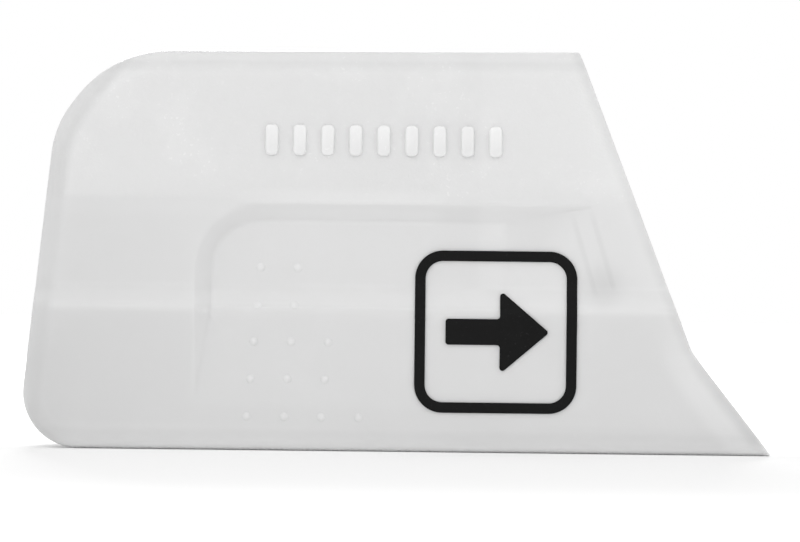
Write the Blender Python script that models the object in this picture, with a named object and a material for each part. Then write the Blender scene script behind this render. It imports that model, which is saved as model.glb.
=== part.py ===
"""Slide-on blade cap for a hooked trade knife: closed round the blade's tip, open at a slanted mouth.

Two moulded half shells meet on the middle plane. A tongue round the front shell's rim stands in a
groove round the back shell's rim. Inside, each shell has a stop rib that the knife's handle meets
and a snap bead that grips it, and outside a hollowed finger panel with grip dots.

Metres. +X runs from the closed end to the mouth, +Z is up and the front shell faces -Y. The cap
stands on its flat bottom edge, with the origin under the middle of its length.
"""

import math

import bmesh
import bpy
from mathutils import Matrix, Vector

# Side outline: a flat bottom, a leaning closed end, a top that falls a little to the closed end and a
# mouth of two slanted edges.
LENGTH = 0.0750
HEIGHT = 0.0403
TOP_FALL = 0.0003
END_LEAN = math.radians(6.1)
LOW_CORNER_RADIUS = 0.0056
HIGH_CORNER_DROP = 0.0079
HIGH_CORNER_REACH = 0.0086
HIGH_CORNER_END_RADIUS = 0.0099
HIGH_CORNER_TOP_RADIUS = 0.0120
MOUTH_TOP_SETBACK = 0.0196
MOUTH_BREAK_SETBACK = 0.0081
MOUTH_BREAK_HEIGHT = 0.0103
MOUTH_BREAK_RADIUS = 0.0033

# Half widths from the middle plane, at the toe of the mouth. The sides draw in to the closed end.
FULL_HALF_WIDTH = 0.0105
BOTTOM_HALF_WIDTH = 0.0102
MIDDLE_HALF_WIDTH = 0.0096
TOP_HALF_WIDTH = 0.0084
SIDE_DRAFT = math.radians(0.5)

# Heights at which the side folds: the foot and the head of the ramp, and the crease
RAMP_FOOT_Z = 0.0143
RAMP_HEAD_Z = 0.0162
CREASE_Z = 0.0249

# Walls and roundings
EDGE_RADIUS = 0.0023
FACE_WALL = 0.0016
RIM_WALL = 0.0024
CAVITY_EDGE_RADIUS = 0.0010
LIP_WALL = 0.0009
LEAD_IN = 0.0030

# Seam of the two shells
SEAM_GAP = 0.0003
TONGUE_THICKNESS = 0.0008
TONGUE_HEIGHT = 0.0012
TONGUE_MOUTH_SETBACK = 0.0015
SEAM_CLEARANCE = 0.0003

# Stop rib, measured from the closed end, with its foot just above the ramp
STOP_RIB_X = 0.0438
STOP_RIB_THICKNESS = 0.0023
STOP_RIB_LIFT = 0.0003
BLADE_SLOT = 0.0050

# Snap bead, parallel to the upper edge of the mouth
BEAD_SETBACK = 0.0052
BEAD_WIDTH = 0.0020
BEAD_HEIGHT = 0.0007
BEAD_LOW_Z = 0.0170
BEAD_HIGH_Z = 0.0236

# Finger panel, measured from the closed end. Its floor runs out to the mouth and to the bottom.
PANEL_X = 0.0171
PANEL_FULL_X = 0.0450
PANEL_RUNOUT_X = 0.0570
PANEL_LAND = 0.00015
PANEL_BEVEL = 0.0017
PANEL_DEPTH = 0.0006
PANEL_CORNER_RADIUS = 0.0067
PANEL_LOW_RADIUS = 0.0020
PANEL_FADE_Z = 0.0045

# Grip dots: rows from the bottom up, each with its number of dots
GRIP_ROWS = (4, 3, 3, 2, 2)
GRIP_PITCH = 0.00375
GRIP_X = 0.0224
GRIP_Z = 0.0036
GRIP_RADIUS = 0.0005
GRIP_HEIGHT = 0.00025

# Fineness of the round shapes
CORNER_SEGMENTS = 12
EDGE_SEGMENTS = 6
CAVITY_EDGE_SEGMENTS = 3
PILL_SEGMENTS = 6
GRIP_SEGMENTS = 10

# How far a cutter passes the surface that it cuts, how deep a joined shape is rooted, and the
# distance within which points are one, in a single shape and after shapes are combined
OVERRUN = 0.0020
ROOT = 0.0005
CLEAR_OF_SIDE = 0.0003
MERGE = 1e-7
COMBINED_MERGE = 1e-6

# Form of a bead or a dot: share of its half width, and share of its height there
MOUND_STEPS = ((1.0, 0.2), (0.8, 0.65), (0.35, 1.0))

# Finish of the plastic
FRONT_GREY = 0.72
BACK_GREY = 0.70
ROUGHNESS = 0.42
SCATTER = 0.6
SCATTER_DEPTH = 0.003

FRONT = -1
BACK = 1


def clear_scene():
    for old in list(bpy.data.objects):
        bpy.data.objects.remove(old, do_unlink=True)


def from_end(distance):
    """X of a point that lies this far from the closed end."""
    return distance - LENGTH / 2


def from_toe(distance):
    """X of a point that lies this far back from the toe of the mouth."""
    return LENGTH / 2 - distance


def end_line_x(z):
    """X of the leaning closed end, which is tangent to the low corner's round."""
    lean = (1 + math.sin(END_LEAN)) / math.cos(END_LEAN)
    foot = from_end(LOW_CORNER_RADIUS * (1 - lean))
    return foot + z * math.tan(END_LEAN)


def top_line_z(x):
    """Height of the top edge, which falls from the mouth to the closed end."""
    mouth = from_toe(MOUTH_TOP_SETBACK)
    return HEIGHT - TOP_FALL * (mouth - x) / (mouth - from_end(0))


def side_corners():
    """Corners of the side outline, counter-clockwise from the foot of the closed end."""
    high_z = HEIGHT - HIGH_CORNER_DROP
    high_x = from_end(HIGH_CORNER_REACH)
    return (
        Vector((end_line_x(0), 0)),
        Vector((from_toe(0), 0)),
        Vector((from_toe(MOUTH_BREAK_SETBACK), MOUTH_BREAK_HEIGHT)),
        Vector((from_toe(MOUTH_TOP_SETBACK), HEIGHT)),
        Vector((high_x, top_line_z(high_x))),
        Vector((end_line_x(high_z), high_z)),
    )


def crossing(point_a, along_a, point_b, along_b):
    """Where two lines cross."""
    way = (point_b - point_a).cross(along_b) / along_a.cross(along_b)
    return point_a + along_a * way


def inset_corners(corners, insets):
    """Corners of the outline whose edges are moved in, each edge by its own inset."""
    lines = []
    for index, corner in enumerate(corners):
        along = (corners[(index + 1) % len(corners)] - corner).normalized()
        inward = Vector((-along.y, along.x))
        lines.append((corner + inward * insets[index], along))
    return [crossing(*lines[index - 1], *lines[index]) for index in range(len(corners))]


def rounded(before, corner, after, radius, segments):
    """Points along the round of a corner."""
    if radius <= 0:
        return [corner] * (segments + 1)
    back = (before - corner).normalized()
    on = (after - corner).normalized()
    half = back.angle(on) / 2
    centre = corner + (back + on).normalized() * radius / math.sin(half)
    reach = radius / math.tan(half)
    start = corner + back * reach - centre
    turn = start.angle_signed(corner + on * reach - centre)
    return [
        centre + Matrix.Rotation(-turn * step / segments, 2) @ start
        for step in range(segments + 1)
    ]


def side_outline(rim, mouth):
    """The rounded outline, moved in by rim all round its closed edges and by mouth at its mouth.

    Gives the closed edges, from the top of the mouth round the closed end to the toe, and then the
    break in the mouth.
    """
    corners = inset_corners(side_corners(), (rim, mouth, mouth, rim, rim, rim))
    foot, toe, bend, top, high_top, high_end = corners
    closed = [top]
    closed += rounded(top, high_top, high_end, HIGH_CORNER_TOP_RADIUS - rim, CORNER_SEGMENTS)
    closed += rounded(high_top, high_end, foot, HIGH_CORNER_END_RADIUS - rim, CORNER_SEGMENTS)
    closed += rounded(high_end, foot, toe, LOW_CORNER_RADIUS - rim, CORNER_SEGMENTS)
    closed += [toe]
    return closed, rounded(toe, bend, top, MOUTH_BREAK_RADIUS + mouth, EDGE_SEGMENTS)


def side_ring(rim, mouth):
    closed, bend = side_outline(rim, mouth)
    return closed + bend


def half_width(x, z):
    """Distance of the cap's outer side from the middle plane."""
    folds = (
        (0, BOTTOM_HALF_WIDTH),
        (RAMP_FOOT_Z, FULL_HALF_WIDTH),
        (RAMP_HEAD_Z, MIDDLE_HALF_WIDTH),
        (CREASE_Z, MIDDLE_HALF_WIDTH),
        (HEIGHT, TOP_HALF_WIDTH),
    )
    width = folds[0][1]
    for (low, low_width), (high, high_width) in zip(folds, folds[1:]):
        share = min(max((z - low) / (high - low), 0), 1)
        width += (high_width - low_width) * share
    return width - (from_toe(0) - x) * math.tan(SIDE_DRAFT)


def loft(rings):
    """A closed solid through rings of (points, y), each with as many points as the next."""
    shape = bmesh.new()
    loops = [[shape.verts.new((p.x, y, p.y)) for p in points] for points, y in rings]
    for near, far in zip(loops, loops[1:]):
        for index in range(len(near)):
            after = (index + 1) % len(near)
            shape.faces.new((near[index], near[after], far[after], far[index]))
    shape.faces.new(loops[0][::-1])
    shape.faces.new(loops[-1])
    bmesh.ops.remove_doubles(shape, verts=shape.verts, dist=MERGE)
    bmesh.ops.recalc_face_normals(shape, faces=shape.faces)
    return shape


def drape(shape, side):
    """Lays a shape, made on a flat side with its depth along +Y, on the cap's folded side."""
    for fold in (RAMP_FOOT_Z, RAMP_HEAD_Z, CREASE_Z):
        everything = shape.verts[:] + shape.edges[:] + shape.faces[:]
        bmesh.ops.bisect_plane(
            shape, geom=everything, dist=MERGE, plane_co=(0, 0, fold), plane_no=(0, 0, 1)
        )
    for vert in shape.verts:
        vert.co.y = side * (half_width(vert.co.x, vert.co.z) - vert.co.y)
    shape.normal_update()
    bmesh.ops.recalc_face_normals(shape, faces=shape.faces)
    return shape


def trim(shape, side, y):
    """Cuts off whatever reaches nearer to the middle plane than y, and closes the cut."""
    cut = bmesh.ops.bisect_plane(
        shape,
        geom=shape.verts[:] + shape.edges[:] + shape.faces[:],
        dist=MERGE,
        plane_co=(0, side * y, 0),
        plane_no=(0, -side, 0),
        clear_outer=True,
    )
    rim = [item for item in cut["geom_cut"] if isinstance(item, bmesh.types.BMEdge)]
    bmesh.ops.edgeloop_fill(shape, edges=rim)
    bmesh.ops.recalc_face_normals(shape, faces=shape.faces)
    return shape


def rounding(radius, rim, depth, mouth, segments):
    """Rings of a rounded edge, from the flat of the side, at depth, out to the rim."""
    rings = []
    for step in range(segments + 1):
        turn = math.radians(90) * step / segments
        inset = rim + radius * (1 - math.sin(turn))
        rings.append((side_ring(inset, mouth), depth + radius * (1 - math.cos(turn))))
    return rings


def pill(start, end, radius, segments):
    """Outline of a bar with round ends."""
    along = (end - start).normalized() * radius
    points = []
    for centre, first_turn in ((start, math.pi / 2), (end, -math.pi / 2)):
        for step in range(segments + 1):
            turn = Matrix.Rotation(first_turn + math.pi * step / segments, 2)
            points.append(centre + turn @ along)
    return points


def circle(centre, radius, segments):
    arm = Vector((radius, 0))
    return [
        centre + Matrix.Rotation(2 * math.pi * step / segments, 2) @ arm
        for step in range(segments)
    ]


def mound(outline, radius, root, base, height):
    """Rings of a low dome over an outline, which is a function of its radius, from its root up."""
    rings = [(outline(radius), root)]
    rings += [(outline(radius * share), base + height * rise) for share, rise in MOUND_STEPS]
    return rings


def shell_blank(side):
    """The outside of one half of the cap, solid."""
    rings = rounding(EDGE_RADIUS, 0, 0, 0, EDGE_SEGMENTS)
    rings.append((side_ring(0, 0), FULL_HALF_WIDTH + OVERRUN))
    return trim(drape(loft(rings), side), side, SEAM_GAP / 2)


def cavity(side):
    """The room for the blade and the nose of the handle, out through the mouth."""
    rings = rounding(CAVITY_EDGE_RADIUS, RIM_WALL, FACE_WALL, -OVERRUN, CAVITY_EDGE_SEGMENTS)
    rings.append((side_ring(RIM_WALL, -OVERRUN), FULL_HALF_WIDTH + OVERRUN))
    return drape(loft(rings), side)


def bar(strips):
    """A closed solid between lines of (points, y), taken in turn round its section."""
    shape = bmesh.new()
    lines = [[shape.verts.new((p.x, y, p.y)) for p in points] for points, y in strips]
    for index, line in enumerate(lines):
        other = lines[(index + 1) % len(lines)]
        for step in range(len(line) - 1):
            shape.faces.new((line[step], line[step + 1], other[step + 1], other[step]))
    for end in (0, -1):
        shape.faces.new([line[end] for line in lines])
    bmesh.ops.recalc_face_normals(shape, faces=shape.faces)
    return shape


def mouth_line(rim, mouth):
    """Points along the mouth from its foot to its top."""
    closed, bend = side_outline(rim, mouth)
    return [closed[-1], *bend, closed[0]]


def lead_in(side):
    """The slope inside the mouth that thins the wall to its lip."""
    rim = RIM_WALL + CAVITY_EDGE_RADIUS
    near = mouth_line(rim, LEAD_IN + OVERRUN)
    far = mouth_line(rim, -OVERRUN)
    rise = (FACE_WALL - LIP_WALL) * OVERRUN / LEAD_IN
    roof = FACE_WALL + OVERRUN
    wedge = bar(((near, FACE_WALL + rise), (far, LIP_WALL - rise), (far, roof), (near, roof)))
    return drape(wedge, side)


def stop_rib(side):
    """The upright rib that the front of the handle stops against, with the blade's slot beside it."""
    start = from_end(STOP_RIB_X)
    end = start + STOP_RIB_THICKNESS
    foot = RAMP_HEAD_Z + STOP_RIB_LIFT
    top = top_line_z(start) - RIM_WALL + ROOT
    outline = [Vector(p) for p in ((start, foot), (end, foot), (end, top), (start, top))]
    rings = ((outline, FACE_WALL - ROOT), (outline, FULL_HALF_WIDTH + OVERRUN))
    return trim(drape(loft(rings), side), side, BLADE_SLOT / 2)


def snap_bead(side):
    """The slanted bead inside the mouth that snaps over the handle."""
    corners = inset_corners(side_corners(), (0, BEAD_SETBACK, BEAD_SETBACK, 0, 0, 0))
    low, high = corners[2], corners[3]
    ends = [low.lerp(high, (z - low.y) / (high.y - low.y)) for z in (BEAD_LOW_Z, BEAD_HIGH_Z)]
    rings = mound(
        lambda radius: pill(*ends, radius, PILL_SEGMENTS),
        BEAD_WIDTH / 2,
        FACE_WALL - ROOT,
        FACE_WALL,
        BEAD_HEIGHT,
    )
    return drape(loft(rings), side)


def panel_outline(x, low_z, end_x, high_z, radius, low_radius):
    corners = [Vector(p) for p in ((x, low_z), (end_x, low_z), (end_x, high_z), (x, high_z))]
    radii = (low_radius, low_radius, low_radius, radius)
    points = []
    for index, corner in enumerate(corners):
        after = corners[(index + 1) % len(corners)]
        points += rounded(corners[index - 1], corner, after, radii[index], CORNER_SEGMENTS)
    return points


def finger_panel(side):
    """The hollow for the fingers: bevelled above and behind, running out below and to the mouth."""
    top = CREASE_Z - PANEL_LAND
    border = panel_outline(
        from_end(PANEL_X),
        PANEL_FADE_Z,
        from_end(PANEL_RUNOUT_X),
        top,
        PANEL_CORNER_RADIUS,
        PANEL_LOW_RADIUS,
    )
    floor = panel_outline(
        from_end(PANEL_X) + PANEL_BEVEL,
        RAMP_FOOT_Z,
        from_end(PANEL_FULL_X),
        top - PANEL_BEVEL,
        PANEL_CORNER_RADIUS - PANEL_BEVEL,
        PANEL_LOW_RADIUS,
    )
    grown = [edge + (edge - deep) * CLEAR_OF_SIDE / PANEL_DEPTH for edge, deep in zip(border, floor)]
    return drape(loft(((floor, PANEL_DEPTH), (grown, -CLEAR_OF_SIDE))), side)


def panel_depth(z):
    """Depth of the panel's floor at a height, where it has not begun to run out to the mouth."""
    share = (z - PANEL_FADE_Z) / (RAMP_FOOT_Z - PANEL_FADE_Z)
    return PANEL_DEPTH * min(max(share, 0), 1)


def grip_dots(side):
    """The dots on the panel's floor, in rows that lean with the closed end."""
    shape = bmesh.new()
    for row, count in enumerate(GRIP_ROWS):
        z = GRIP_Z + GRIP_PITCH * row
        first = from_end(GRIP_X) + GRIP_PITCH * row * math.tan(END_LEAN)
        floor = panel_depth(z)
        for column in range(count):
            centre = Vector((first + GRIP_PITCH * column, z))
            rings = mound(
                lambda radius: circle(centre, radius, GRIP_SEGMENTS),
                GRIP_RADIUS,
                floor + ROOT,
                floor,
                -GRIP_HEIGHT,
            )
            dot = loft(rings)
            mesh = bpy.data.meshes.new("dot")
            dot.to_mesh(mesh)
            dot.free()
            shape.from_mesh(mesh)
            bpy.data.meshes.remove(mesh)
    return drape(shape, side)


def rim_band(slack):
    """A band along the middle of the rim, grown by slack on every side, short of the mouth."""
    inset = (RIM_WALL - TONGUE_THICKNESS) / 2
    setback = TONGUE_MOUTH_SETBACK - slack
    outer, _ = side_outline(inset - slack, setback)
    inner, _ = side_outline(inset + TONGUE_THICKNESS + slack, setback)
    return outer, inner


def band_solid(band, low, high):
    """A closed solid over a band of the rim, between two distances from the middle plane."""
    outer, inner = band
    return bar(((outer, low), (outer, high), (inner, high), (inner, low)))


def tongue():
    """The tongue on the front shell's rim, reaching over the middle plane."""
    face = -SEAM_GAP / 2
    return band_solid(rim_band(0), face - ROOT, face + TONGUE_HEIGHT)


def groove():
    """The room for the tongue in the back shell's rim."""
    face = SEAM_GAP / 2
    floor = TONGUE_HEIGHT - SEAM_GAP / 2 + SEAM_CLEARANCE
    return band_solid(rim_band(SEAM_CLEARANCE), face - ROOT, floor)


def add_object(name, shape):
    mesh = bpy.data.meshes.new(name)
    shape.to_mesh(mesh)
    shape.free()
    thing = bpy.data.objects.new(name, mesh)
    bpy.context.scene.collection.objects.link(thing)
    return thing


def combine(target, name, shape, operation):
    """Cuts a shape out of the target or joins it on, and keeps the shape as a hidden helper."""
    helper = add_object(name, shape)
    helper.hide_render = True
    helper.display_type = "WIRE"
    helper.parent = target
    target.modifiers.new(f"{name}_triangles", "TRIANGULATE")
    step = target.modifiers.new(name, "BOOLEAN")
    step.operation = operation
    step.solver = "EXACT"
    step.object = helper
    weld = target.modifiers.new(f"{name}_weld", "WELD")
    weld.merge_threshold = COMBINED_MERGE


def moulded_plastic(name, grey):
    """Natural polyethylene: milky, a little see-through, with a soft shine."""
    material = bpy.data.materials.new(name)
    material.use_nodes = True
    shader = material.node_tree.nodes["Principled BSDF"]
    shader.inputs["Base Color"].default_value = (grey, grey, grey, 1)
    shader.inputs["Roughness"].default_value = ROUGHNESS
    shader.inputs["Metallic"].default_value = 0
    shader.inputs["Subsurface Weight"].default_value = SCATTER
    shader.inputs["Subsurface Scale"].default_value = SCATTER_DEPTH
    material.diffuse_color = (grey, grey, grey, 1)
    return material


def half_shell(name, side, material):
    """One half of the cap, with all but its half of the seam."""
    shell = add_object(name, shell_blank(side))
    shell.data.materials.append(material)
    combine(shell, f"{name}_cavity", cavity(side), "DIFFERENCE")
    combine(shell, f"{name}_lead_in", lead_in(side), "DIFFERENCE")
    combine(shell, f"{name}_finger_panel", finger_panel(side), "DIFFERENCE")
    combine(shell, f"{name}_stop_rib", stop_rib(side), "UNION")
    combine(shell, f"{name}_snap_bead", snap_bead(side), "UNION")
    combine(shell, f"{name}_grip_dots", grip_dots(side), "UNION")
    return shell


def main():
    clear_scene()
    cap = bpy.data.objects.new("blade_cap", None)
    bpy.context.scene.collection.objects.link(cap)
    front = half_shell("front_shell", FRONT, moulded_plastic("front_plastic", FRONT_GREY))
    combine(front, "front_shell_tongue", tongue(), "UNION")
    back = half_shell("back_shell", BACK, moulded_plastic("back_plastic", BACK_GREY))
    combine(back, "back_shell_groove", groove(), "DIFFERENCE")
    for shell in (front, back):
        shell.parent = cap


main()
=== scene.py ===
"""Looks of a slide-on blade cap: two milky moulded half shells with a printed mark, on a pale stage.

Metres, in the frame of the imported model: +X runs from the closed end to the mouth, +Z is up and the
front shell faces -Y. A shell is shaped on a flat side that lies in y = 0, with its depth along +Y,
and is then laid on the cap's folded side with a lattice.
"""

import math

import bmesh
import bpy
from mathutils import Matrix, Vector


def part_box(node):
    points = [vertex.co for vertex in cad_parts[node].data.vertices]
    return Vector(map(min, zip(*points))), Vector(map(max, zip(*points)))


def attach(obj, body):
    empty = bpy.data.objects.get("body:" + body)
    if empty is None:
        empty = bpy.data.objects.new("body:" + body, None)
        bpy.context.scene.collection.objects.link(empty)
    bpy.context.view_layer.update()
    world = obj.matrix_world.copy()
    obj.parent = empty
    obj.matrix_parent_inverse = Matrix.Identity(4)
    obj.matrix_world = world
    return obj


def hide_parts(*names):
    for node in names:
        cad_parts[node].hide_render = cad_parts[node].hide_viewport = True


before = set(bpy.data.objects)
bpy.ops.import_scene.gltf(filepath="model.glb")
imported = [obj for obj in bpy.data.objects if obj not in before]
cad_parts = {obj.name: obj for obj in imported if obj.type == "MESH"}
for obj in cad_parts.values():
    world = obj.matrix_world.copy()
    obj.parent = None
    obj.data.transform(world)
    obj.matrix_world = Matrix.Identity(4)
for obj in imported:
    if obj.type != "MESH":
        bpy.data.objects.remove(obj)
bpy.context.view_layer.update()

bl_info = {
    "name": "Blade Cap",
    "version": (1, 0, 0),
    "blender": (4, 5, 0),
    "location": "3D View > Sidebar > Blade Cap",
    "description": "Builds a milky slide-on blade cap in two half shells, with its stage",
    "category": "Add Mesh",
}

FRONT_LOW, FRONT_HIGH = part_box("front_shell")
CLOSED_END_X = FRONT_LOW.x
TOE_X = FRONT_HIGH.x
TOP_Z = FRONT_HIGH.z

# How far a cutter passes the surface that it cuts, how deep a joined shape is rooted, how near the
# mouth a point counts as on it, and the distance within which points are one
OVERRUN = 0.0020
CLEAR_OF_SIDE = 0.0003
ROOT = 0.0005
MOUTH_SLACK = 0.0001
NEAR = 1e-6
MERGE = 2e-6

# A half shell is shaped this deep and then cut off on the middle plane
BLOCK_DEPTH = 0.0125

# Fineness and softness of the shapes
CORNER_STEPS = 20
EDGE_STEPS = 8
BEND_STEPS = 6
INNER_STEPS = 4
ROUND_STEPS = 3
SOFT_STEPS = 2
DOT_STEPS = 16
CAGE_LIMIT = 64
FOLD_SOFTNESS = 0.3
PRINT_PITCH = 0.0006
RIB_SOFTNESS = 0.0003
SMOOTH_BELOW = math.radians(32)
FLAT_WITHIN = math.radians(0.5)

# Grip dots: rows from the bottom up, the first dot from the closed end and the bottom, the lean of
# the rows, the share of a dot's lens that is sunk in the wall, and the least bend along its border
DOT_ROWS = (4, 3, 3, 2, 2)
DOT_START = Vector((0.0225, 0.0034))
DOT_LEAN = math.radians(4.8)
DOT_SUNK = 0.75
DOT_BORDER_ANGLE = math.radians(11)

# Raised bars: the row's middle from the closed end and the bottom, the size, pitch and corners of its
# bars, and the share of their height that the round of their tops takes
BARS_CENTRE = Vector((0.0359, 0.0311))
BAR_COUNT = 9
BAR_PITCH = 0.0028
BAR_WIDTH = 0.0013
BAR_LENGTH = 0.0031
BAR_CORNER = 0.00045
BAR_TOP_ROUND = 0.6

# Snap bead: its lower and upper end, each by its height and its distance from the mouth, and the
# rounds of its ends and its top, as shares of half its width and of its height
BEAD_ENDS = ((0.0168, 0.0060), (0.0236, 0.0055))
BEAD_END_ROUND = 0.98
BEAD_TOP_ROUND = 0.8

# Tongue and groove of the seam
TONGUE_THICKNESS = 0.0008
TONGUE_HEIGHT = 0.0012
TONGUE_MOUTH_SETBACK = 0.0015
SEAM_CLEARANCE = 0.0003

# Printed mark: its centre, its round corners, the plane that it is drawn in, and the arrow's
# points as shares of half of the frame
PRINT_CENTRE = Vector((0.0098, 0.0121))
PRINT_CORNER = 0.0028
PRINT_PLANE = -0.0125
ARROW = (
    (-0.62, -0.16), (0.05, -0.16), (0.05, -0.52), (0.66, 0), (0.05, 0.52), (0.05, 0.16), (-0.62, 0.16),
)
ARROW_CORNER = 0.0003

# Where the field of painted highlights on the dots ends: half a pitch past its rows and columns, and on
# the right at a column that falls with each row, fading over a share of the pitch
DOT_FIELD_EDGE = 0.5
DOT_FIELD_RIGHT = 3.4
DOT_FIELD_LEAN = 0.5
DOT_FIELD_FADE = 0.1

# Where light and shade are painted into the plastic's colour: painted shade where the rim, the stop rib
# and the bead would show through the wall, and painted light and shade on the planes, along the edges,
# the folds and the mouth, and on the bars and dots. Two numbers are where a change begins and ends, four
# are where a band starts, is full, begins to fade and has gone, and a blend is how softly two edges
# meet.
RIM_BLUR = 0.0003
RIM_SHADE = (0.0014, 0.0025)
TOP_SHADE = (0.0009, 0.0014, 0.0018, 0.0024)
EDGE_GLOW_REACH = 0.0014
CORNER_GLOW_REACH = 0.0022
HIGH_CORNER_BLEND = 0.0028
# painted light at the foot and the contact, over the shade where the cap stands on the floor
FOOT_GLOW_REACH = 0.0019
CONTACT_GLOW_REACH = 0.0009
FOOT_SLOPE = (-0.030, 0.022)
END_SHADE_REACH = 0.0270
LOW_END_SHADE = (0.0012, 0.0065)
LOW_END_HEIGHTS = (0.0080, 0.0140)
RAMP_LIGHT = (0.0144, 0.0149, 0.0153, 0.0161)
CREASE_FADE = 0.0030
CREASE_GLOW = (-0.0022, -0.0006, -0.0002, 0.0002)
LEFT_OF_PANEL = (-0.0200, -0.0150)
CREST_GLOW = (-0.0003, 0.0001, 0.0006, 0.0017)
SLOPE_GLOW = (-0.0024, -0.0020, -0.0010, -0.0004)
OVER_PANEL = (-0.0190, -0.0100, 0.0030, 0.0055)
MOUTH_BLEND = 0.0020
MOUTH_STRIP = (0.0007, 0.0014, 0.0021, 0.0034)
TOE_STRIP_REACH = 0.0035
TOE_STRIP_SCALE = 0.85
LIP_SHADE = 0.0013
TOE_LIP_EXTRA = 0.2
TOE_SHADE = (0.0030, 0.0120)
MOUTH_HALO = (0.0030, 0.0110)
RIB_LINE = (-0.0006, 0.0004, 0.0014, 0.0021)
PAST_RIB = (0.0012, 0.0024)
BEAD_LINE = (0.00055, 0.00085, 0.00100, 0.00140)
BEAD_END_BLURS = (0.0010, 0.0012)
BEAD_SHADE_REACH = 0.0032
BAR_TOP = (0.4, 0.9)
BAR_LIGHT = (0.0299, 0.0318)
BAR_LOW_LIGHT = 0.35

# How much lighter or darker each painted light or shade makes the plastic
PAINTED_LIGHT_AND_SHADE = {
    # painted shade along the rim and the closed end, painted light along the edges
    "rim": -0.024,
    "top_rim": -0.042,
    "low_rim": -0.016,
    "low_rim_left": 0.028,
    "closed_end": -0.060,
    "low_end": -0.038,
    "edge": 0.058,
    "high_corner": 0.055,
    # painted light at the foot, over the shade where the cap stands on the floor
    "foot": 0.200,
    "contact": 0.160,
    # painted shade on the lower plane, painted light on the upper plane, the ramp and the folds
    "low": -0.034,
    "high": 0.017,
    "ramp": 0.012,
    "under_crease": 0.014,
    "crest": 0.040,
    "panel_slope": 0.028,
    # painted light along the mouth, painted shade at its lip and toe
    "mouth_strip": 0.055,
    "mouth_halo": 0.014,
    "lip": -0.125,
    "toe": -0.028,
    # painted shade of the stop rib and the bead, as if seen through the wall
    "rib": -0.007,
    "past_rib": 0.010,
    "bead": -0.048,
    "bead_foot": -0.105,
    # painted highlights on the tops of the bars and on the dots
    "bars": 0.085,
    "dots": 0.020,
}

# Finish of the plastic and the ink: how much clouds and patches lighten the plastic and how much the
# specks, painted glints of the grain's sparkle, lighten it, its roughness and what grain and scuffs add
# to it, how much of the grain there is below the crease, how much its coarse part counts, where it
# begins at the crease and how deep it is, and the gloss, thin spots and roughness of the ink
CLOUDING = 0.03
INSIDE_CLOUDING = 0.06
PATCH_LIGHT = 0.02
SPECK_LIGHT = 0.07
SPECKS_IN_PATCHES = 0.8
PLASTIC_ROUGHNESS = 0.40
INSIDE_ROUGHNESS = 0.45
GRAIN_ROUGHNESS = 0.08
SCUFF_ROUGHNESS = 0.12
PLAIN_GRAIN = 0.15
COARSE_GRAIN = 0.5
GRAIN_EDGE = (-0.0004, 0.0006)
GRAIN_STRENGTH = 0.35
GRAIN_DEPTH = 0.00008
PLASTIC_IOR = 1.5
INK_IOR = 1.45
INK_SPECULAR = 0.12
THIN_INK = 3.0
INK_ROUGHNESS = (0.15, 0.5)

# Noises of the finish: scale, detail and roughness, and from where to where some of them count
NOISES = {
    "fine_grain": (3800, 2, 0.6),
    "coarse_grain": (1500, 2, 0.5),
    "patches": (190, 3, 0.6),
    "specks": (3000, 1, 0.4),
    "clouds": (90, 3, 0.5),
    "scuff_lines": (2600, 1, 0.4),
    "scuffed_places": (160, 1, 0.4),
    "thin_ink": (4200, 2, 0.6),
    "ink_grain": (2500, 2, 0.5),
}
PATCHES_COUNT = (0.50, 0.66)
SPECKS_COUNT = (0.64, 0.74)
SCUFF_LINES_COUNT = (0.66, 0.74)
SCUFFED_PLACES_COUNT = (0.52, 0.66)
THIN_INK_COUNTS = (0.62, 0.78)
SCUFF_TURN = math.radians(24)
SCUFF_STRETCH = 0.06

# The walls of the room begin this far into the rim, as a share of its wall
ROOM_EDGE = 0.92

# Stage: the floor, its added white near the cap, far from it and behind it, where that painted light
# covers the cap's shadow, the lamps with their name, place, size and power, and the camera's view of the
# middle plane
WHITE = (1, 1, 1, 1)
STAGE_RADIUS = 1.6
FLOOR_DROP = 0.00002
FLOOR_LIFTS = (0.105, 0.42)
FLOOR_LIFT_REACH = (0.08, 0.35)
FLOOR_LIFT_BEHIND = (-0.012, 0.008)
WORLD_STRENGTH = 0.70
LAMPS = (
    ("key_above", (-0.05, -0.46, 0.29), 0.35, 0.67),
    ("fill_front", (0.02, -0.62, 0.07), 0.40, 0.60),
    ("low_behind", (-0.06, 0.55, 0.23), 0.09, 1.25),
)
VIEW_CENTRE = Vector((0.00017, 0.0181))
VIEW_DISTANCE = 0.60
VIEW_PLANE = -0.0082
VIEW_WIDTH = 0.0801
VIEW_ROLL = math.radians(-0.66)


def length(name, description, default):
    """A size in metres."""
    return bpy.props.FloatProperty(
        name=name, description=description, default=default, unit="LENGTH"
    )


def angle(name, description, default):
    """An angle, given in radians and shown in degrees."""
    return bpy.props.FloatProperty(
        name=name, description=description, default=default, subtype="ANGLE", unit="ROTATION"
    )


def colour(name, description, default):
    """A colour in linear light."""
    return bpy.props.FloatVectorProperty(
        name=name, description=description, default=default, size=3, min=0, max=1, subtype="COLOR"
    )


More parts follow.
